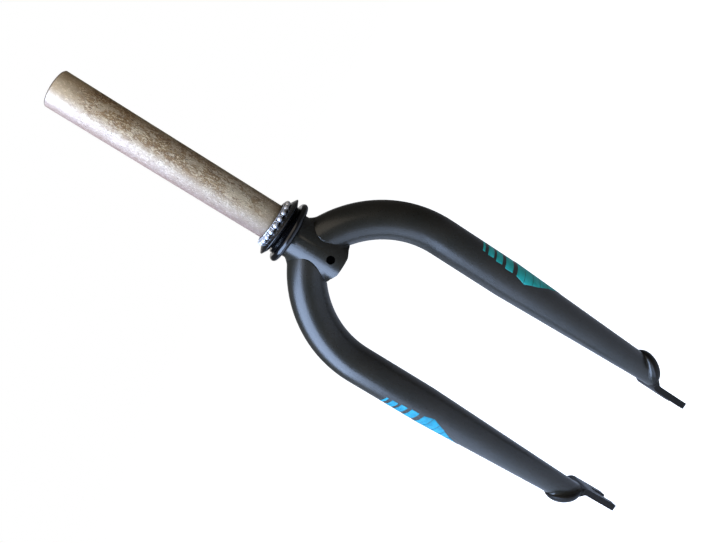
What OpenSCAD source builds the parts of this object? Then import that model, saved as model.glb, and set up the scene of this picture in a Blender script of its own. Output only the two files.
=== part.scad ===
// Rigid bicycle fork: steerer tube, welded crown, two bent and tapered legs, folded plate fork ends,
// the lower race of the headset with its seal and caged balls, and a stripe transfer on each leg.
// Up is +Z along the steerer, the front of the bicycle is -Y, the rider's left is +X.
// The origin is on the steerer's axis at the shoulder that the crown race sits on.

/* [Steerer] */
// Outer diameter of the steerer tube
steerer_od = 28.6; // [28:0.1:29]
// Wall of the steerer tube
steerer_wall = 1.6; // [1.2:0.1:2.4]
// Height of the steerer's cut end above the race seat
steerer_top = 191; // [150:1:260]

/* [Crown] */
// Outer diameter of the crown sleeve
crown_od = 35.2; // [34:0.1:36]
// Depth of the crown sleeve below the race seat
crown_depth = 43; // [42:0.5:46]
// Diameter of the race seat turned on the sleeve
seat_d = 30; // [29.8:0.1:30.2]
// Diameter of the bolt hole through the crown
bolt_hole_d = 6.6; // [5.5:0.1:8]
// Depth of that hole below the race seat
bolt_hole_depth = 32.2; // [31:0.1:33]

/* [Legs] */
// Outer diameter of a leg down to where its taper starts
leg_od = 30.7; // [29:0.1:31]
// Outer diameter of a leg at its lower end
leg_end_od = 20.4; // [19:0.1:20.6]
// Wall of a leg
leg_wall = 1.5; // [1.2:0.1:2]
// Distance between the two leg centres below the bend, before they spread
leg_spacing = 119.6; // [118:0.2:122]
// Centreline radius of the bend at the top of a leg
bend_r = 88.3; // [87:0.1:89.5]
// Angle at which each leg spreads sideways
leg_splay = 0.3; // [0:0.1:0.6]
// Angle at which both legs lean forward of the steerer
leg_lean = 3.6; // [3:0.1:4]

/* [Fork ends] */
// Clear width between the fork ends, for the hub
hub_width = 100; // [99:0.5:101]
// Width of the axle slots
slot_w = 10; // [9:0.1:10.4]
// Depth of the axle below the race seat
axle_depth = 341.5; // [340:0.5:343]
// Distance of the axle ahead of the steerer's axis
axle_offset = 16; // [15:0.5:18]
// Thickness of the fork-end plate
plate_t = 5.5; // [4.5:0.1:6]
// Width of the plate's arm
arm_w = 25; // [24:0.5:27]

/* [Headset] */
// Outer diameter of the crown race's flange
race_od = 49.6; // [48:0.1:50]
// Diameter of a bearing ball
ball_d = 3.97; // [3.9:0.01:4]
// Number of bearing balls
ball_count = 20; // [16:1:20]
// Angle at which the loose seal and ball retainer lie on the race
loose_tilt = 3; // [0:0.5:3]

/* [Stripes] */
// Height at which the uppermost stripe starts, below the race seat
stripe_start = 126; // [122:1:130]
// Angle from the front round to the middle of the stripes
stripe_turn = 58; // [50:1:65]

/* [Hidden] */
$fn = 64;
eps = 0.01;
far = 400;

paint = "#343538";
zinc = "#a89a88";
gloss_black = "#131315";
bright_steel = "#c9ccd0";
teal = "#2aa39b";
cyan = "#2fbdf0";

steerer_r = steerer_od / 2;
steerer_bore_r = steerer_r - steerer_wall;
steerer_foot = -37;
foot_r = steerer_r - 0.2;
tube_edge = 0.7;

crown_r = crown_od / 2;
seat_r = seat_d / 2;
seat_h = 8;
seat_edge = 0.4;
sleeve_edge = 0.8;
foot_flat = 7.8;
foot_side = 13.3;
foot_rise = 1.9;

leg_r = leg_od / 2;
leg_end_r = leg_end_od / 2;
leg_x = leg_spacing / 2;
bend_x = leg_x - bend_r;
lean_z = -21.6;
bend_drop = 78;
bend_z = lean_z - bend_drop;
bend_top_angle = 67;
parallel_l = 65;

plate_tilt = 41.5;
head_z = -309;
head_drop = lean_z - head_z;
head_x = leg_x + head_drop * tan(leg_splay);
head_y = -head_drop * tan(leg_lean);
taper_l = head_drop - bend_drop - parallel_l;
taper_rate = (leg_r - leg_end_r) / taper_l;
taper_extra = 30;
head_r = 15.6;
head_t = 8;
head_edge_r = 7;
fold_r = 3.5;
fold_steps = 6;
fold_back = fold_r + plate_t;
head_proud = 0.2;
head_back = fold_back + head_proud;
hub_half = hub_width / 2;
fold_x = hub_half + fold_back;
tongue_l = (head_x - fold_x + head_back * cos(plate_tilt)) / sin(plate_tilt);
fold_z = head_z - head_back * sin(plate_tilt) - tongue_l * cos(plate_tilt);
axle_drop = axle_depth + fold_z;
prong_w = (arm_w - slot_w) / 2;
prong_reach = 16.2;
prong_l = prong_reach - prong_w / 2;
tip_past = 0.6;
arm_l = axle_drop + prong_reach + tip_past;

bead = 1.6;
end_bead = 1;

race_rim_r = 2.7;
race_rim_z = 3;
neck_r = 19.7;
neck_fillet = 0.5;
neck_z = 6.2;
neck_top = 7.9;
groove_n = 2;
groove_w = 0.4;
groove_deep = 0.35;
spigot_r = 17;
track_z = 13.2;
race_top = 14.2;

loose_z = 12.2;
seal_bore_r = 17.4;
seal_lip_r = 24.6;
seal_lip_z = 11.5;
seal_slope = 4;
seal_edge = [0.15, 0.35];
seal_foot = 9.1;
seal_head = 13.9;

pitch_r = 18;
ball_z = 16;
cage_bore_r = 15.3;
cage_t = 0.6;
cage_foot = 15.2;
cage_top = 18.4;
cage_rim_r = 17;
finger_w = 0.9;
finger_root = 0.3;
finger_r = 19.3;
finger_foot = 15.6;
finger_bend = 16.6;

transfer_t = 0.15;
stripe_slant = 0.12;
// Each stripe: its start below the first one's, and its width along the leg
stripes = [[3.2, 2], [8.4, 5.3], [16.3, 5.8], [25.5, 7.1]];
stripe_front = -6.5;
stripe_fan = 0.1;
stripe_back = 4.2;
tail_front = -9.3;
tail_front_low = -10.8;
tail_back = 11;
tail_point = 9;
tail_start = 36.9;
tail_full = 46.6;
tail_end = 86;
// The front edge of the tail below its full width: across, and down
tail_edge = [[0.7, 73.7], [-6.7, 59.3]];
tail_bevel = 4;
tail_cuts = [7.4, 15.5, 22.9, 30.8];
tail_cut_w = 0.5;

// Everything that leans forward and spreads with the left leg
module leaned() {
    translate([0, 0, lean_z]) rotate([-leg_lean, 0, 0]) rotate([0, -leg_splay, 0])
        translate([0, 0, -lean_z]) children();
}

// The solid of the left leg's bend, with its surface moved out by grow
module bend_solid(grow) {
    translate([bend_x, 0, bend_z]) rotate([90, 0, 0]) rotate_extrude(angle = bend_top_angle)
        translate([bend_r, 0]) circle(r = leg_r + grow);
}

// The solid of the left leg below its bend, with its surface moved out by grow
module shank_solid(grow) {
    translate([bend_x, 0, bend_z]) translate([bend_r, 0, 0]) {
        translate([0, 0, -parallel_l]) cylinder(h = parallel_l, r = leg_r + grow);
        translate([0, 0, -parallel_l - taper_l - taper_extra])
            cylinder(
                h = taper_l + taper_extra,
                r1 = leg_end_r - taper_extra * taper_rate + grow,
                r2 = leg_r + grow
            );
    }
}

// The frame of the left fork end: its origin is the centre of the plate's fold
module at_fold() {
    translate([fold_x, -axle_offset, fold_z]) children();
}

// The frame of the round head, on the plane where the left leg is cut off
module at_head() {
    at_fold() rotate([0, plate_tilt, 0]) translate([-head_back, axle_offset + head_y, tongue_l]) children();
}

// All that lies past the plane of the head
module past_head() {
    at_head() translate([0, -far / 2, -far / 2]) cube(far);
}

module crown_solid(grow) {
    translate([0, 0, -crown_depth - 2 * bead]) cylinder(h = crown_depth + 2 * bead, r = crown_r + grow);
}

module bolt_hole() {
    translate([0, far / 2, -bolt_hole_depth]) rotate([90, 0, 0]) cylinder(h = far, d = bolt_hole_d);
}

// The plain tube, turned down below the race seat to a shoulder that stands on the sleeve
module steerer_tube() {
    color(zinc) difference() {
        union() {
            translate([0, 0, steerer_foot]) cylinder(h = seat_h - steerer_foot, r = foot_r);
            translate([0, 0, seat_h]) cylinder(h = steerer_top - tube_edge - seat_h, r = steerer_r);
            translate([0, 0, steerer_top - tube_edge])
                cylinder(h = tube_edge, r1 = steerer_r, r2 = steerer_r - tube_edge);
        }
        translate([0, 0, -far]) cylinder(h = 2 * far, r = steerer_bore_r);
        bolt_hole();
    }
}

// The sleeve's foot is level in the middle and mitred up to where the legs meet it
module foot_cut() {
    rotate([90, 0, 0]) translate([0, 0, -far / 2]) linear_extrude(height = far)
        polygon([
            [-far, -far], [far, -far], [far, foot_rise - crown_depth], [foot_side, foot_rise - crown_depth],
            [foot_flat, -crown_depth], [-foot_flat, -crown_depth],
            [-foot_side, foot_rise - crown_depth], [-far, foot_rise - crown_depth]
        ]);
}

module crown_sleeve() {
    color(paint) difference() {
        rotate_extrude() polygon([
            [foot_r, -crown_depth - eps], [crown_r, -crown_depth - eps],
            [crown_r, -sleeve_edge], [crown_r - sleeve_edge, 0],
            [seat_r, 0], [seat_r, seat_h - seat_edge], [seat_r - seat_edge, seat_h], [foot_r, seat_h]
        ]);
        foot_cut();
        bolt_hole();
    }
}

// The fillet of weld metal round the steerer's lower end, inside the sleeve
module steerer_weld() {
    color(paint) rotate_extrude() polygon([
        [foot_r, steerer_foot], [steerer_bore_r, steerer_foot], [foot_r, steerer_foot - steerer_wall]
    ]);
}

module leg() {
    color(paint) difference() {
        leaned() difference() {
            union() {
                bend_solid(0);
                shank_solid(0);
            }
            bend_solid(-leg_wall);
            shank_solid(-leg_wall);
        }
        crown_solid(0);
        past_head();
    }
}

// The fillet of weld metal where the left leg is coped onto the sleeve
module crown_weld() {
    color(paint) difference() {
        intersection() {
            leaned() bend_solid(bead);
            crown_solid(bead);
        }
        crown_solid(0);
        leaned() bend_solid(0);
        foot_cut();
    }
}

// The round head's dished section, from its axis outwards
module head_profile() {
    intersection() {
        square([head_r, head_t]);
        union() {
            square([head_r - head_edge_r, head_t]);
            square([head_r, head_t - head_edge_r]);
            translate([head_r - head_edge_r, head_t - head_edge_r]) circle(r = head_edge_r);
        }
    }
}

// The bent plate seen from the front: a tilted tongue, the fold, and the upright arm with its round end
module plate_section() {
    end_r = plate_t / 2;
    tongue = tongue_l * [sin(plate_tilt), cos(plate_tilt)];
    bend = [for (i = [0:fold_steps]) 180 - i * plate_tilt / fold_steps];
    polygon(concat(
        [for (a = [0:-20:-180]) [end_r * (1 + cos(a)) - fold_back, end_r * (1 + sin(a)) - arm_l]],
        [for (a = bend) fold_back * [cos(a), sin(a)]],
        [tongue - fold_back * [cos(plate_tilt), -sin(plate_tilt)], tongue - fold_r * [cos(plate_tilt), -sin(plate_tilt)]],
        [for (i = [0:fold_steps]) let (a = bend[fold_steps - i]) fold_r * [cos(a), sin(a)]]
    ));
}

// The plate seen from the side: an open slot between two round prongs
module plate_outline() {
    difference() {
        union() {
            translate([-arm_w / 2, -axle_drop - prong_l]) square([arm_w, far]);
            for (side = [-1, 1])
                translate([side * (arm_w - prong_w) / 2, -axle_drop - prong_l]) circle(d = prong_w);
        }
        translate([0, -axle_drop]) circle(d = slot_w);
        translate([-slot_w / 2, -axle_drop - far]) square([slot_w, far]);
    }
}

// One plate: a dished round head that closes the leg, a fold, and an arm with the open axle slot
module dropout() {
    color(paint) {
        at_head() rotate([0, 90, 0]) rotate_extrude() head_profile();
        at_fold() intersection() {
            rotate([90, 0, 0]) translate([0, 0, -arm_w]) linear_extrude(height = 2 * arm_w) plate_section();
            rotate([90, 0, 90]) translate([0, 0, -far / 2]) linear_extrude(height = far) plate_outline();
        }
    }
}

// The fillet of weld metal between the left leg's cut end and the head of the fork end
module dropout_weld() {
    color(paint) difference() {
        intersection() {
            leaned() shank_solid(end_bead);
            at_head() rotate([0, -90, 0]) cylinder(h = end_bead, r = head_r);
        }
        leaned() shank_solid(0);
    }
}

module crown_race() {
    rim_x = race_od / 2 - race_rim_r;
    groove_step = (neck_top - neck_z) / (groove_n + 1);
    color(gloss_black) rotate_extrude() polygon(concat(
        [[seat_r, 0], [rim_x - race_rim_r, 0]],
        [for (a = [-75:15:105]) [rim_x + race_rim_r * cos(a), race_rim_z + race_rim_r * sin(a)]],
        [[neck_r + neck_fillet, neck_z - neck_fillet / 2], [neck_r, neck_z]],
        [for (i = [1:groove_n], k = [0:3]) [
            neck_r - (k == 1 || k == 2 ? groove_deep : 0),
            neck_z + i * groove_step + (k < 2 ? -groove_w / 2 : groove_w / 2)
        ]],
        [[neck_r, neck_top], [spigot_r, neck_top], [spigot_r, track_z],
         [spigot_r - (race_top - track_z), race_top], [seat_r, race_top]]
    ));
}

// What lies loose on the race, tilted towards the rider's left
module loose() {
    translate([0, 0, loose_z]) rotate([0, loose_tilt, 0]) translate([0, 0, -loose_z]) children();
}

module dust_seal() {
    color(gloss_black) loose() rotate_extrude() polygon([
        [seal_bore_r, seal_foot], [seal_lip_r - seal_slope, seal_foot],
        [seal_lip_r - seal_edge[0], seal_lip_z - seal_edge[1]], [seal_lip_r, seal_lip_z],
        [seal_lip_r - seal_edge[0], seal_lip_z + seal_edge[1]], [seal_lip_r - seal_slope, seal_head],
        [seal_bore_r, seal_head]
    ]);
}

module ball_cage() {
    color(bright_steel) loose() {
        rotate_extrude() polygon([
            [cage_bore_r, cage_foot], [cage_bore_r + cage_t, cage_foot],
            [cage_bore_r + cage_t, cage_top - cage_t], [cage_rim_r, cage_top - cage_t],
            [cage_rim_r, cage_top], [cage_bore_r, cage_top]
        ]);
        for (i = [0:ball_count - 1]) rotate([0, 0, (i + 0.5) * 360 / ball_count])
            translate([0, finger_w / 2, 0]) rotate([90, 0, 0]) linear_extrude(height = finger_w)
                polygon([
                    [cage_rim_r - finger_root, cage_top - cage_t],
                    [finger_r - cage_t, finger_foot], [finger_r, finger_foot], [finger_r, finger_bend],
                    [cage_rim_r, cage_top], [cage_rim_r - finger_root, cage_top]
                ]);
    }
}

module bearing_balls() {
    color(bright_steel) loose()
        for (i = [0:ball_count - 1]) rotate([0, 0, i * 360 / ball_count])
            translate([pitch_r, 0, ball_z]) sphere(d = ball_d);
}

// A point of the stripes seen square on: x runs across the leg, and y runs down it from the slanted line
function stripe_point(x, y) = [x, x * stripe_slant - y];

// Four slanted stripes and a longer tail with fine cuts, seen square on
module stripe_outline() {
    for (stripe = stripes)
        let (top = stripe[0], foot = top + stripe[1], front = stripe_front - top * stripe_fan) polygon([
            stripe_point(front, top), stripe_point(stripe_back, top),
            stripe_point(stripe_back, foot), stripe_point(front, foot)
        ]);
    difference() {
        polygon([
            stripe_point(tail_front, tail_start), stripe_point(tail_back, tail_start),
            [tail_back, tail_bevel - tail_end], [tail_point, -tail_end],
            for (edge = tail_edge) [edge[0], -edge[1]],
            [tail_front_low, -tail_full]
        ]);
        for (cut = tail_cuts) let (top = tail_start + cut, foot = top + tail_cut_w)
            polygon([
                stripe_point(-far, top), stripe_point(far, top),
                stripe_point(far, foot), stripe_point(-far, foot)
            ]);
    }
}

// The printed transfer on the left leg: a skin on its outer front side
module decal() {
    leaned() intersection() {
        difference() {
            shank_solid(transfer_t);
            shank_solid(0);
        }
        translate([leg_x, 0, -stripe_start]) rotate([0, 0, stripe_turn]) rotate([90, 0, 0])
            linear_extrude(height = leg_od) stripe_outline();
    }
}

steerer_tube();
crown_sleeve();
steerer_weld();
leg();  // leg_left
mirror([1, 0, 0]) leg();  // leg_right
crown_weld();  // crown_weld_left
mirror([1, 0, 0]) crown_weld();  // crown_weld_right
dropout();  // dropout_left
mirror([1, 0, 0]) dropout();  // dropout_right
dropout_weld();  // dropout_weld_left
mirror([1, 0, 0]) dropout_weld();  // dropout_weld_right
crown_race();
dust_seal();
ball_cage();
bearing_balls();
color(teal) decal();  // decal_left
color(cyan) mirror([1, 0, 0]) decal();  // decal_right
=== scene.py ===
"""A rigid bicycle fork, seen at three-quarter view against white.

The frame gives every solid at its real place. This script gives each one its finish, lays the rippled
weld beads along the joints and sets the camera and the lamps. All lengths are in metres.
"""
import math

import bmesh
import bpy
from mathutils import Matrix, Vector


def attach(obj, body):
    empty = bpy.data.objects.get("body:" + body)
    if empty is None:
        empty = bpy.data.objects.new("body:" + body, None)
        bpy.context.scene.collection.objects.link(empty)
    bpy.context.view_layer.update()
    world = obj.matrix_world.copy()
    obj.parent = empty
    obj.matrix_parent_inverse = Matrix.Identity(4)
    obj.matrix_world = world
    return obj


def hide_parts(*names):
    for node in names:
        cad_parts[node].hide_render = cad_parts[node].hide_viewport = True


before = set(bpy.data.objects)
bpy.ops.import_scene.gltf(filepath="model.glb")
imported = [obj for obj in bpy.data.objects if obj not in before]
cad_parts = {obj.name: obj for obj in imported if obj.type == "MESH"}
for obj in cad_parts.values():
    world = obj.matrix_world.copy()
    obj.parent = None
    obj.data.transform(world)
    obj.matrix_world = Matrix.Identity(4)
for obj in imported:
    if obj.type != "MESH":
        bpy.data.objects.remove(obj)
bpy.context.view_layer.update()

MM = 0.001

# Camera: its place, its axes and its lens
CAMERA_PLACE = Vector((0.031297, -0.476932, 0.062934))
CAMERA_RIGHT = Vector((0.5381, -0.1720, -0.8252))
CAMERA_UP = Vector((0.8407, 0.1813, 0.5104))
CAMERA_BACK = Vector((0.0618, -0.9683, 0.2422))
LENS_MM = 32.096
SENSOR_MM = 36
NEAREST_SEEN = 0.01

# The room: how bright it is away from the white backdrop, and where the backdrop fades out round the view
ROOM_LIGHT = 0.10
BACKDROP_EDGE = (0.8, 0.98)
FLOOR_Z = -0.40
FLOOR_REACH = 6.0
FLOOR_GREY = 0.8
FLOOR_GLOW = 0.92
LAMPS_AIM = Vector((0, 0, -0.09))

# The steerer: its top, its outside, and the dull ring that the saw left below its cut end
STEERER_TOP = 191 * MM
STEERER_R = 14.3 * MM
RIM_START = STEERER_TOP - 1.2 * MM
RIM_FULL = STEERER_TOP - 0.5 * MM

# The fork's own sizes, as the solids have them: where the legs meet the crown and the fork ends
CROWN_R = 17.6 * MM
LEG_R = 15.35 * MM
LEG_END_R = 10.2 * MM
LEG_X = 59.8 * MM
LEAN_Z = -21.6 * MM
LEAN = math.radians(3.6)
SPLAY = math.radians(0.3)
BEND_R = 88.3 * MM
BEND_Z = -99.6 * MM
BEND_LOW = math.radians(20)
BEND_HIGH = math.radians(67)
TAPER_Z = -164.6 * MM
HEAD_PLACE = Vector((61.31, -18.08, -309.0)) * MM
HEAD_TILT = math.radians(41.5)
HEAD_R = 15.5 * MM

# The crown's foot, which is flat in front and behind and rises to both sides
FOOT_Z = -43 * MM
FOOT_FLAT = 7.8 * MM
FOOT_SIDE = 13.3 * MM
FOOT_RISE = 1.9 * MM

# Inside the crown, where shade falls, painted dead black: the bolt hole, the bore, and the steerer's end
# within it
BOLT_Z = -32.2 * MM
BOLT_R = 3.35 * MM
BORE_R = 14.5 * MM
BORE_TOP = -10 * MM
SHADE_BLACK = "#050505"

# The weld beads: how finely they are cut, how hollow they are, how far they stand out and reach in, and
# how they thin out towards the crown's foot and the fork end's rim
JOINT_STEPS = 180
WELD_STEPS = 8
HALVINGS = 30
WELD_FILL = 0.3
WELD_LIFT = 0.3 * MM
WELD_DEPTH = 1.2 * MM
WELD_TAIL = 9 * MM
FOOT_MARGIN = 0.3 * MM
RIM_TAIL = 3 * MM
LEAST_SHARE = 0.1

SHARP_ANGLE = math.radians(32)
MERGE_REACH = 0.001 * MM

# The middle part of a noise's range, over which a finish changes from one tone to the other
NOISE_BAND = (0.3, 0.7)


def linear(code):
    """An sRGB hex colour as linear red, green, blue and alpha."""
    channels = [int(code[i:i + 2], 16) / 255 for i in (1, 3, 5)]
    return [c / 12.92 if c <= 0.04045 else ((c + 0.055) / 1.055) ** 2.4 for c in channels] + [1.0]


def grey(value):
    """A linear grey with its alpha."""
    return [value, value, value, 1.0]


def add(tree, kind, settings=None, **inputs):
    """Adds a node, sets its properties and fills its inputs.

    The setting "stops" holds a ramp's places with their colours or greys. An input is given by its name,
    with _ for each space, or by i and its number where two share a name. It takes a value, a socket, or a
    node, which stands for its first live output.
    """
    node = tree.nodes.new(kind)
    for name, value in (settings or {}).items():
        if name != "stops":
            setattr(node, name, value)
            continue
        elements = node.color_ramp.elements
        while len(elements) < len(value):
            elements.new(0.5)
        for element, (place, colour) in zip(elements, value):
            element.position = place
            element.color = linear(colour) if isinstance(colour, str) else grey(colour)
    for name, value in inputs.items():
        key = int(name[1:]) if name[0] == "i" and name[1:].isdigit() else name.replace("_", " ")
        if isinstance(value, bpy.types.Node):
            value = next(socket for socket in value.outputs if socket.enabled)
        if isinstance(value, bpy.types.NodeSocket):
            tree.links.new(value, node.inputs[key])
        else:
            node.inputs[key].default_value = value
    return node


def new_material(name):
    """A material with an empty tree, and the coordinates of the piece that carries it."""
    material = bpy.data.materials.new(name)
    material.use_nodes = True
    tree = material.node_tree
    tree.nodes.clear()
    return material, tree, add(tree, "ShaderNodeTexCoord").outputs["Object"]


def powder_coat(name, colours, roughness, level, hollow=False):
    """Matte black powder coat: a fine pebbled skin with a broad soft sheen.

    A hollow piece has painted shade in its bolt hole and its bore: dead black without sheen, where no light
    comes.
    """
    material, tree, place = new_material(name)
    cloud = add(tree, "ShaderNodeTexNoise", Vector=place, Scale=1 / (18 * MM), Detail=2)
    pebble = add(tree, "ShaderNodeTexNoise", Vector=place, Scale=1 / (0.9 * MM), Detail=2)
    colour = add(tree, "ShaderNodeValToRGB", {"stops": list(zip(NOISE_BAND, colours))}, Fac=cloud)
    gloss = add(tree, "ShaderNodeValToRGB", {"stops": list(zip(NOISE_BAND, roughness))}, Fac=pebble)
    # Painted shade: the bolt hole and the bore are dead black, without sheen
    if hollow:
        painted_shade_inside = 0.0
        for plane, axis, radius in (
            ((1, 0, 1), (0, 0, BOLT_Z), BOLT_R),
            ((1, 1, 0), (0, 0, 0), BORE_R),
        ):
            flat = add(tree, "ShaderNodeVectorMath", {"operation": "MULTIPLY"}, i0=place, i1=plane)
            arm = add(tree, "ShaderNodeVectorMath", {"operation": "DISTANCE"}, i0=flat, i1=axis)
            within = add(tree, "ShaderNodeMath", {"operation": "LESS_THAN"}, i0=arm, i1=radius)
            painted_shade_inside = add(tree, "ShaderNodeMath", {"operation": "MAXIMUM"}, i0=within, i1=painted_shade_inside)
        colour = add(tree, "ShaderNodeMix", {"data_type": "RGBA"}, i0=painted_shade_inside, i6=colour, i7=linear(SHADE_BLACK))
        level = add(tree, "ShaderNodeMapRange", Value=painted_shade_inside, To_Min=level, To_Max=0.0)
    relief = add(tree, "ShaderNodeBump", Height=pebble, Distance=0.03 * MM, Strength=1.0)
    shader = add(
        tree, "ShaderNodeBsdfPrincipled", Base_Color=colour, Roughness=gloss, Normal=relief,
        Specular_IOR_Level=level, IOR=1.5,
    )
    add(tree, "ShaderNodeOutputMaterial", Surface=shader)
    return material


def stained_zinc():
    """Zinc-plated steel tube: pale dull plating under flaky brown stains and dark specks.

    It is cleaner near both ends and on its -X side. Across the tube a multiplied tint paints light and
    shade:
    darker and pinker on its -X side, under the window lamp, paler towards +X, and darker olive along its +X
    edge. The stained skin is a little rougher and lower than the plating. Below the race the tube carries
    painted shade inside the crown, dead black and dull where the bolt hole shows it.
    """
    material, tree, place = new_material("stained_zinc_plated_steel")
    axes = add(tree, "ShaderNodeSeparateXYZ", Vector=place).outputs
    side = add(tree, "ShaderNodeMapRange", Value=axes["X"], From_Min=-STEERER_R, From_Max=STEERER_R)
    height = add(tree, "ShaderNodeMapRange", Value=axes["Z"], From_Min=0.0, From_Max=STEERER_TOP)
    rim = add(
        tree, "ShaderNodeMapRange", Value=axes["Z"], From_Min=RIM_START, From_Max=RIM_FULL, To_Max=0.8
    )
    # Painted shade: below this height, inside the crown, the tube is dead black and dull
    painted_shade_inside = add(tree, "ShaderNodeMath", {"operation": "LESS_THAN"}, i0=axes["Z"], i1=BORE_TOP)

    # The patterns of the stains, each squeezed along the tube
    patterns = []
    for squeeze, inputs in (
        (0.55, {"Scale": 1 / (8 * MM), "Detail": 5, "Roughness": 0.7, "Distortion": 0.4}),
        (0.55, {"Scale": 1 / (2.6 * MM), "Detail": 6, "Roughness": 0.75, "Distortion": 0.9}),
        (0.45, {"Scale": 1 / (1.8 * MM), "Detail": 4, "Roughness": 0.6, "Distortion": 2.2}),
        (0.6, {"Scale": 1 / (0.8 * MM), "Detail": 2, "Roughness": 0.6}),
    ):
        along = add(tree, "ShaderNodeMapping", Vector=place, Scale=(1, 1, squeeze))
        patterns.append(add(tree, "ShaderNodeTexNoise", Vector=along, **inputs))
    blotch, flake, vein, fleck = patterns

    # Colours and shares along a pattern or across the tube
    tones = []
    for source, stops in (
        (blotch, [(0.3, "#b9a892"), (0.5, "#c9baa5"), (0.7, "#dacfc0")]),
        (flake, [(0.32, "#664d37"), (0.5, "#92785a"), (0.68, "#b69f80")]),
        (vein, [(0.55, 0.0), (0.58, 0.85)]),
        (fleck, [(0.64, 0.0), (0.67, 0.85)]),
        (height, [(0.10, 0.3), (0.2, 1.0), (0.86, 1.0), (0.96, 0.15)]),
        (side, [(0.1, 0.5), (0.3, 0.4), (0.55, 1.0)]),
        # Painted light across the tube, multiplied in: darker and pinker on the -X side under the window
        # lamp, paler towards +X, darker olive along the +X edge
        (side, [
            (0.0, "#c8b0ae"), (0.12, "#cfc0be"), (0.32, "#ebe2da"), (0.55, "#f2e4cc"),
            (0.75, "#fff6e0"), (0.9, "#f0e4cf"), (1.0, "#c0ad88"),
        ]),
    ):
        tones.append(add(tree, "ShaderNodeValToRGB", {"stops": stops}, Fac=source))
    plating, stain, veins, specks, ends, dirty, painted_light_tint = tones

    # The stains lie where the two coarse patterns add up, and thin out at the ends and on the clean side
    spread = add(tree, "ShaderNodeMath", {"operation": "ADD"}, i0=blotch, i1=flake)
    reach = add(tree, "ShaderNodeMapRange", Value=spread, From_Min=0.93, From_Max=1.01)
    for share in (ends, dirty):
        reach = add(tree, "ShaderNodeMath", {"operation": "MULTIPLY"}, i0=reach, i1=share)
    specks = add(tree, "ShaderNodeMath", {"operation": "MULTIPLY"}, i0=specks, i1=ends)

    # What lies on the plating, from below upwards, with the painted light across the tube and the painted
    # shade inside the crown
    colour = plating
    for blend, share, layer in (
        ("MIX", reach, stain),
        ("MIX", veins, linear("#e2d6be")),
        ("MIX", specks, linear("#46382a")),
        ("MULTIPLY", 1.0, painted_light_tint),
        ("MIX", rim, linear("#5d554c")),
        ("MIX", painted_shade_inside, linear(SHADE_BLACK)),
    ):
        settings = {"data_type": "RGBA", "blend_type": blend}
        colour = add(tree, "ShaderNodeMix", settings, i0=share, i6=colour, i7=layer)

    gloss = add(tree, "ShaderNodeValToRGB", {"stops": [(0.0, 0.42), (1.0, 0.6)]}, Fac=reach)
    gloss = add(tree, "ShaderNodeMix", {"data_type": "RGBA"}, i0=painted_shade_inside, i6=gloss, i7=grey(1.0))
    bare = add(tree, "ShaderNodeMath", {"operation": "SUBTRACT"}, i0=1.0, i1=reach)
    relief = add(tree, "ShaderNodeBump", Height=bare, Distance=0.14 * MM, Strength=1.0)
    level = add(tree, "ShaderNodeMapRange", Value=painted_shade_inside, To_Min=0.5, To_Max=0.0)
    metal = add(tree, "ShaderNodeMapRange", Value=painted_shade_inside, To_Min=0.2, To_Max=0.0)
    shader = add(
        tree, "ShaderNodeBsdfPrincipled", Base_Color=colour, Roughness=gloss, Normal=relief,
        Specular_IOR_Level=level, Metallic=metal,
    )
    add(tree, "ShaderNodeOutputMaterial", Surface=shader)
    return material


def clouded(name, size, detail, colours, roughness, metallic=0.0):
    """A finish that drifts between two colours and two degrees of roughness, as under a film or a grain."""
    material, tree, place = new_material(name)
    cloud = add(tree, "ShaderNodeTexNoise", Vector=place, Scale=1 / size, Detail=detail)
    colour = add(tree, "ShaderNodeValToRGB", {"stops": list(zip(NOISE_BAND, colours))}, Fac=cloud)
    gloss = add(tree, "ShaderNodeValToRGB", {"stops": list(zip(NOISE_BAND, roughness))}, Fac=cloud)
    shader = add(
        tree, "ShaderNodeBsdfPrincipled", Base_Color=colour, Roughness=gloss, Metallic=metallic
    )
    add(tree, "ShaderNodeOutputMaterial", Surface=shader)
    return material


def stripe_foil(name, colours):
    """Printed polyester transfer under a satin lacquer."""
    material, tree, place = new_material(name)
    cloud = add(tree, "ShaderNodeTexNoise", Vector=place, Scale=1 / (5 * MM), Detail=3)
    colour = add(tree, "ShaderNodeValToRGB", {"stops": list(zip(NOISE_BAND, colours))}, Fac=cloud)
    shader = add(
        tree, "ShaderNodeBsdfPrincipled", Base_Color=colour, Roughness=0.42, Specular_IOR_Level=0.3
    )
    add(tree, "ShaderNodeOutputMaterial", Surface=shader)
    return material


def smooth_copy(node, material):
    """A merged and smoothly shaded copy of a CAD solid, which stands in its place."""
    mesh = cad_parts[node].data.copy()
    form = bmesh.new()
    form.from_mesh(mesh)
    bmesh.ops.remove_doubles(form, verts=form.verts, dist=MERGE_REACH)
    form.to_mesh(mesh)
    form.free()
    mesh.polygons.foreach_set("use_smooth", [True] * len(mesh.polygons))
    mesh.set_sharp_from_angle(angle=SHARP_ANGLE)
    mesh.materials.clear()
    mesh.materials.append(material)
    piece = bpy.data.objects.new(node + "_finished", mesh)
    bpy.context.scene.collection.objects.link(piece)
    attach(piece, "root")
    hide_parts(node)


def leaned(point):
    """A point of the upright left leg, moved to where the leg leans forward and spreads."""
    turn = Matrix.Rotation(-LEAN, 3, "X") @ Matrix.Rotation(-SPLAY, 3, "Y")
    pivot = Vector((0, 0, LEAN_Z))
    return turn @ (point - pivot) + pivot


def crossing(low, high, beyond):
    """Where between low and high beyond() turns from false to true."""
    for _ in range(HALVINGS):
        middle = (low + high) / 2
        if beyond(middle):
            high = middle
        else:
            low = middle
    return (low + high) / 2


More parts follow.
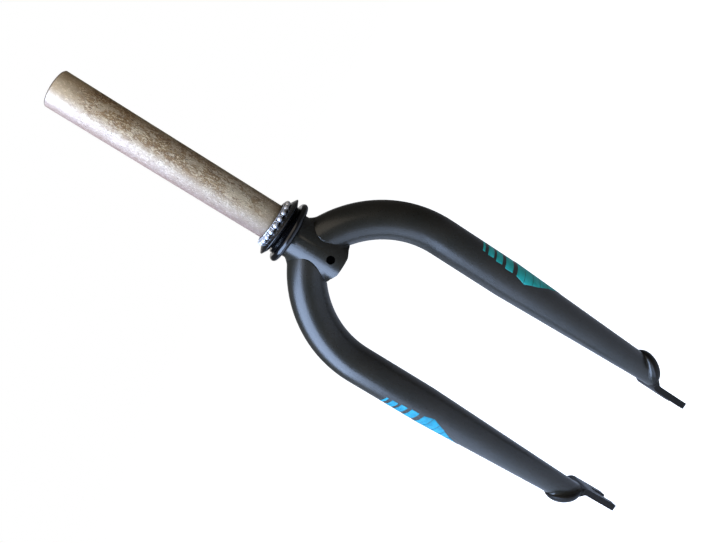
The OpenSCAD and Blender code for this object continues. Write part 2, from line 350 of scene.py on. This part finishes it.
def crown_joint():
    """The left leg's joint with the crown, step by step round the leg.

    It gives the line where the two tubes meet, the weld's share of its full size at each step, and where
    a width of the weld ends on the leg and on the crown.
    """
    steps = [math.tau * k / JOINT_STEPS for k in range(JOINT_STEPS)]
    reaches = [BEND_R + LEG_R * math.cos(around) for around in steps]

    def place(k, turn):
        return leaned(Vector((
            LEG_X - BEND_R + reaches[k] * math.cos(turn),
            LEG_R * math.sin(steps[k]),
            BEND_Z + reaches[k] * math.sin(turn),
        )))

    turns = [
        crossing(BEND_HIGH, BEND_LOW, lambda turn: place(k, turn).xy.length > CROWN_R)
        for k in range(JOINT_STEPS)
    ]
    line = [place(k, turn) for k, turn in enumerate(turns)]
    heart = sum(line, Vector()) / len(line)

    def foot(x):
        return FOOT_Z + FOOT_RISE * min(max((abs(x) - FOOT_FLAT) / (FOOT_SIDE - FOOT_FLAT), 0), 1)

    # The weld runs out where the crown's foot ends
    rooms = [(point.z - foot(point.x) - FOOT_MARGIN) / WELD_TAIL for point in line]
    shares = [math.sqrt(min(max(room, 0), 1)) for room in rooms]

    # A known fault, kept for the tested look: this should be place(k, ...). The last step's line along the
    # leg serves every step, so the weld's skin runs inside the leg instead of round it.
    def on_leg(k, width):
        return place(JOINT_STEPS - 1, turns[k] - width / reaches[k])

    def on_crown(k, width):
        along = line[(k + 1) % len(line)] - line[k - 1]
        outward = Vector((line[k].x, line[k].y, 0))
        aside = outward.cross(along).normalized()
        if aside.dot(line[k] - heart) < 0:
            aside = -aside
        point = line[k] + aside * width
        height = max(point.z, min(foot(point.x), line[k].z))
        return Vector((*(point.xy.normalized() * CROWN_R), height))

    return line, shares, on_leg, on_crown


def fork_end_joint():
    """The left leg's joint with the round head of its fork end, given as the crown's joint is."""
    steps = [math.tau * k / JOINT_STEPS for k in range(JOINT_STEPS)]
    facing = Vector((math.cos(HEAD_TILT), 0, -math.sin(HEAD_TILT)))
    rate = (LEG_R - LEG_END_R) / (TAPER_Z - HEAD_PLACE.z)

    def place(k, height):
        radius = LEG_R - (TAPER_Z - height) * rate
        return leaned(Vector((
            LEG_X + radius * math.cos(steps[k]), radius * math.sin(steps[k]), height
        )))

    heights = [
        crossing(
            HEAD_PLACE.z + 2 * LEG_R, HEAD_PLACE.z - 2 * LEG_R,
            lambda height: (place(k, height) - HEAD_PLACE).dot(facing) > 0,
        )
        for k in range(JOINT_STEPS)
    ]
    line = [place(k, height) for k, height in enumerate(heights)]

    # The weld is as wide as the head leaves room for
    rooms = [(HEAD_R - (point - HEAD_PLACE).length) / RIM_TAIL for point in line]
    shares = [min(max(room, LEAST_SHARE), 1) for room in rooms]

    def on_leg(k, width):
        return place(k, heights[k] + width)

    def on_head(k, width):
        arm = line[k] - HEAD_PLACE
        return HEAD_PLACE + arm.normalized() * min(arm.length + width, HEAD_R)

    return line, shares, on_leg, on_head


def weld_skin(name, joint, widths, mirrored):
    """A concave fillet along a joint, closed behind, which knows how far round and across each point is."""
    line, shares, on_leg, on_other = joint
    heart = sum(line, Vector()) / len(line)
    points, runs, rises = [], [], []
    run = 0
    for k, corner in enumerate(line):
        run += (corner - line[k - 1]).length if k else 0
        outward = (corner - heart).normalized() * shares[k]
        first = on_leg(k, widths[0] * shares[k])
        last = on_other(k, widths[1] * shares[k])
        pull = corner.lerp((first + last) / 2, WELD_FILL) + outward * WELD_LIFT
        for step in range(WELD_STEPS + 1):
            t = step / WELD_STEPS
            points.append(first * (1 - t) ** 2 + pull * 2 * t * (1 - t) + last * t ** 2)
            rises.append(4 * t * (1 - t) * shares[k])
        points.append(corner - outward * WELD_DEPTH)
        rises.append(0.0)
        runs += [run] * (WELD_STEPS + 2)
    if mirrored:
        points = [Vector((-point.x, point.y, point.z)) for point in points]
    ring = WELD_STEPS + 2
    faces = []
    for k in range(len(line)):
        after = (k + 1) % len(line)
        if shares[k] or shares[after]:
            for i in range(ring):
                j = (i + 1) % ring
                faces.append((k * ring + i, k * ring + j, after * ring + j, after * ring + i))
    mesh = bpy.data.meshes.new(name)
    mesh.from_pydata(points, [], faces)
    for label, values in (("run", runs), ("rise", rises)):
        mesh.attributes.new(label, "FLOAT", "POINT").data.foreach_set("value", values)
    form = bmesh.new()
    form.from_mesh(mesh)
    bmesh.ops.remove_doubles(form, verts=form.verts, dist=MERGE_REACH)
    bmesh.ops.delete(form, geom=[vert for vert in form.verts if not vert.link_faces], context="VERTS")
    bmesh.ops.recalc_face_normals(form, faces=form.faces)
    form.to_mesh(mesh)
    form.free()
    mesh.polygons.foreach_set("use_smooth", [True] * len(mesh.polygons))
    return mesh


def ripple_tree():
    """Raises a weld's skin into ripples along its run, with soft lumps between them."""
    tree = bpy.data.node_groups.new("weld_ripples", "GeometryNodeTree")
    face = tree.interface
    face.new_socket("Weld", in_out="INPUT", socket_type="NodeSocketGeometry")
    for name in ("Ripple pitch", "Ripple height", "Lump size", "Lump height", "Seed"):
        face.new_socket(name, in_out="INPUT", socket_type="NodeSocketFloat")
    face.new_socket("Finish", in_out="INPUT", socket_type="NodeSocketMaterial")
    face.new_socket("Weld", in_out="OUTPUT", socket_type="NodeSocketGeometry")
    given = add(tree, "NodeGroupInput").outputs
    run = add(tree, "GeometryNodeInputNamedAttribute", {"data_type": "FLOAT"}, Name="run")
    rise = add(tree, "GeometryNodeInputNamedAttribute", {"data_type": "FLOAT"}, Name="rise")

    # The ripples are the humps of a sine along the run
    ripple = run
    for operation, other in (
        ("DIVIDE", given["Ripple pitch"]),
        ("MULTIPLY", math.pi),
        ("SINE", 0.0),
        ("ABSOLUTE", 0.0),
        ("MULTIPLY", given["Ripple height"]),
    ):
        ripple = add(tree, "ShaderNodeMath", {"operation": operation}, i0=ripple, i1=other)

    # The lumps are soft noise, and both fade out at the weld's two edges
    grain = add(tree, "ShaderNodeMath", {"operation": "DIVIDE"}, i0=1.0, i1=given["Lump size"])
    height = add(
        tree, "ShaderNodeTexNoise", {"noise_dimensions": "4D"}, W=given["Seed"], Scale=grain, Detail=1.0
    )
    for operation, other in (
        ("SUBTRACT", 0.35),
        ("MULTIPLY", given["Lump height"]),
        ("ADD", ripple),
        ("MULTIPLY", rise),
    ):
        height = add(tree, "ShaderNodeMath", {"operation": operation}, i0=height, i1=other)

    normal = add(tree, "GeometryNodeInputNormal").outputs["Normal"]
    offset = add(tree, "ShaderNodeVectorMath", {"operation": "SCALE"}, i0=normal, Scale=height)
    weld = add(tree, "GeometryNodeSetPosition", Geometry=given["Weld"], Offset=offset)
    weld = add(tree, "GeometryNodeRealizeInstances", Geometry=weld)
    weld = add(tree, "GeometryNodeSetMaterial", Geometry=weld, Material=given["Finish"])
    add(tree, "NodeGroupOutput", Weld=weld)
    return tree


def weld_bead(tree, node, joint, widths, material, **sizes):
    """The weld of one joint, in the place of its plain solid."""
    mesh = weld_skin(node + "_skin", joint, widths, node.endswith("right"))
    blank = bpy.data.objects.new(node + "_skin", mesh)
    bpy.context.scene.collection.objects.link(blank)
    modifier = blank.modifiers.new("ripples", "NODES")
    modifier.node_group = tree
    given = {name.replace("_", " ").capitalize(): value for name, value in sizes.items()}
    given["Finish"] = material
    for socket in tree.interface.items_tree:
        if socket.name in given:
            modifier[socket.identifier] = given[socket.name]
    ready = blank.evaluated_get(bpy.context.evaluated_depsgraph_get())
    piece = bpy.data.objects.new(node + "_bead", bpy.data.meshes.new_from_object(ready))
    piece.data.set_sharp_from_angle(angle=SHARP_ANGLE)
    bpy.data.objects.remove(blank)
    bpy.context.scene.collection.objects.link(piece)
    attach(piece, "root")
    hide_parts(node)


def build_camera():
    """The camera, at the picture's own angle."""
    data = bpy.data.cameras.new("camera")
    data.lens = LENS_MM
    data.sensor_width = SENSOR_MM
    data.sensor_fit = "HORIZONTAL"
    data.clip_start = NEAREST_SEEN
    camera = bpy.data.objects.new("camera", data)
    axes = Matrix((CAMERA_RIGHT, CAMERA_UP, CAMERA_BACK)).transposed()
    camera.matrix_world = Matrix.Translation(CAMERA_PLACE) @ axes.to_4x4()
    bpy.context.scene.collection.objects.link(camera)
    bpy.context.scene.camera = camera


def in_picture(right, up, back):
    """A world direction from a direction in the camera's own axes."""
    return CAMERA_RIGHT * right + CAMERA_UP * up + CAMERA_BACK * back


def soft_lamp(name, direction, distance, width, height, power, colour):
    """A soft box that looks at the middle of the fork."""
    direction = direction.normalized()
    data = bpy.data.lights.new(name, "AREA")
    data.shape = "RECTANGLE"
    data.size = width
    data.size_y = height
    data.energy = power
    data.color = linear(colour)[:3]
    lamp = bpy.data.objects.new(name, data)
    turn = direction.to_track_quat("Z", "Y").to_matrix().to_4x4()
    lamp.matrix_world = Matrix.Translation(LAMPS_AIM + direction * distance) @ turn
    bpy.context.scene.collection.objects.link(lamp)


def build_surround():
    """A white surround for the eye and behind the fork, and a plain grey one for the light."""
    world = bpy.data.worlds.new("surround")
    bpy.context.scene.world = world
    world.use_nodes = True
    tree = world.node_tree
    tree.nodes.clear()
    path = add(tree, "ShaderNodeLightPath").outputs
    ray = add(tree, "ShaderNodeTexCoord").outputs["Generated"]
    ahead = add(tree, "ShaderNodeVectorMath", {"operation": "DOT_PRODUCT"}, i0=ray, i1=-CAMERA_BACK)
    behind = add(
        tree, "ShaderNodeMapRange", {"interpolation_type": "SMOOTHSTEP"}, Value=ahead,
        From_Min=BACKDROP_EDGE[0], From_Max=BACKDROP_EDGE[1],
    )
    mirrored = add(tree, "ShaderNodeMath", {"operation": "MULTIPLY"}, i0=path["Is Glossy Ray"], i1=behind)
    seen = mirrored
    for kind in ("Is Camera Ray", "Is Transmission Ray"):
        seen = add(tree, "ShaderNodeMath", {"operation": "MAXIMUM"}, i0=seen, i1=path[kind])
    strength = add(tree, "ShaderNodeMapRange", Value=seen, To_Min=ROOM_LIGHT, To_Max=1.0)
    light = add(tree, "ShaderNodeBackground", Color=grey(1.0), Strength=strength)
    add(tree, "ShaderNodeOutputWorld", Surface=light)


def build_floor():
    """A pale floor below the fork, nearly white to the eye, which takes the shadow."""
    material, tree, _ = new_material("pale_floor")
    path = add(tree, "ShaderNodeLightPath").outputs
    matte = add(tree, "ShaderNodeBsdfDiffuse", Color=grey(FLOOR_GREY))
    glow = add(tree, "ShaderNodeEmission", Color=grey(1.0), Strength=FLOOR_GLOW)
    both = add(tree, "ShaderNodeAddShader", i0=matte, i1=glow)
    shown = add(tree, "ShaderNodeMixShader", i0=path["Is Camera Ray"], i1=matte, i2=both)
    add(tree, "ShaderNodeOutputMaterial", Surface=shown)

    form = bmesh.new()
    bmesh.ops.create_grid(form, x_segments=1, y_segments=1, size=FLOOR_REACH)
    bmesh.ops.translate(form, verts=form.verts, vec=(0, 0, FLOOR_Z))
    mesh = bpy.data.meshes.new("floor")
    form.to_mesh(mesh)
    form.free()
    mesh.materials.append(material)
    floor = bpy.data.objects.new("floor", mesh)
    bpy.context.scene.collection.objects.link(floor)


build_camera()
build_surround()
build_floor()
soft_lamp(
    "window", direction=Vector((-0.85, -0.46, 0.27)), distance=0.68, width=0.66, height=0.8,
    power=20.5, colour="#bdd6ff",
)
soft_lamp(
    "lamp_above", direction=in_picture(-0.6, 0.35, 0.75), distance=0.9, width=1.0, height=1.0,
    power=3.6, colour="#ffefdc",
)

# Powder coat on the tubes, the same round the crown with painted shade in its bore and bolt hole, and a
# duller coat on the fork ends, painted darker as painted shade
BLACK = {"colours": ("#1b1a14", "#221f18"), "roughness": (0.27, 0.33), "level": 0.5}
black = powder_coat("matte_black_powder_coat", **BLACK)
crown_black = powder_coat("matte_black_powder_coat_on_crown", **BLACK, hollow=True)
# Painted shade: the fork ends' coat is a darker copy of the same black, for the weaker light there
shaded_dull_black = powder_coat(
    "dull_powder_coat_painted_darker_on_plate", colours=("#14110d", "#1b1712"), roughness=(0.38, 0.46), level=0.15
)
zinc = stained_zinc()

# Blacked and oiled steel: nearly black, with hard bright reflections
oiled = clouded(
    "oiled_black_steel", size=6 * MM, detail=3, colours=("#050506", "#0a0a0c"), roughness=(0.14, 0.24)
)

# Moulded nitrile rubber: black, with a soft satin face
rubber = clouded(
    "moulded_nitrile_rubber", size=1.2 * MM, detail=3, colours=("#050506", "#09090a"),
    roughness=(0.24, 0.34),
)

# Polished chrome-steel bearing balls: pale grey metal, only partly metallic, a painted reflection that
# keeps them bright where a mirror would show the dark room
polished = clouded(
    "polished_bearing_steel", size=2.5 * MM, detail=2, colours=("#d8dadf", "#eff0f3"),
    roughness=(0.3, 0.42), metallic=0.6,
)

# Stamped sheet steel of the ball cage: dull grey, a little greasy
stamped = clouded(
    "stamped_cage_steel", size=2 * MM, detail=3, colours=("#b9babd", "#dcdde0"),
    roughness=(0.4, 0.55), metallic=0.6,
)
teal = stripe_foil("teal_transfer", ("#0fa298", "#34b8b4"))
cyan = stripe_foil("cyan_transfer", ("#066678", "#128092"))

FINISHES = {
    "steerer_tube": zinc, "crown_sleeve": crown_black, "steerer_weld": crown_black,
    "leg_left": black, "leg_right": black, "dropout_left": shaded_dull_black, "dropout_right": shaded_dull_black,
    "crown_race": oiled, "dust_seal": rubber, "ball_cage": stamped, "bearing_balls": polished,
    "decal_left": teal, "decal_right": cyan,
}
for node, finish in FINISHES.items():
    smooth_copy(node, finish)

# Each weld's widths are those on the leg and on the crown or the fork end
ripples = ripple_tree()
for number, side in enumerate(("left", "right")):
    weld_bead(
        ripples, "crown_weld_" + side, crown_joint(), (4.8 * MM, 2.8 * MM), black,
        ripple_pitch=2.4 * MM, ripple_height=0.05 * MM, lump_size=5 * MM, lump_height=0.7 * MM,
        seed=float(number),
    )
    weld_bead(
        ripples, "dropout_weld_" + side, fork_end_joint(), (3.6 * MM, 2.6 * MM), black,
        ripple_pitch=3 * MM, ripple_height=0.02 * MM, lump_size=8 * MM, lump_height=0.3 * MM,
        seed=float(number),
    )

bpy.context.scene.view_settings.view_transform = "Standard"
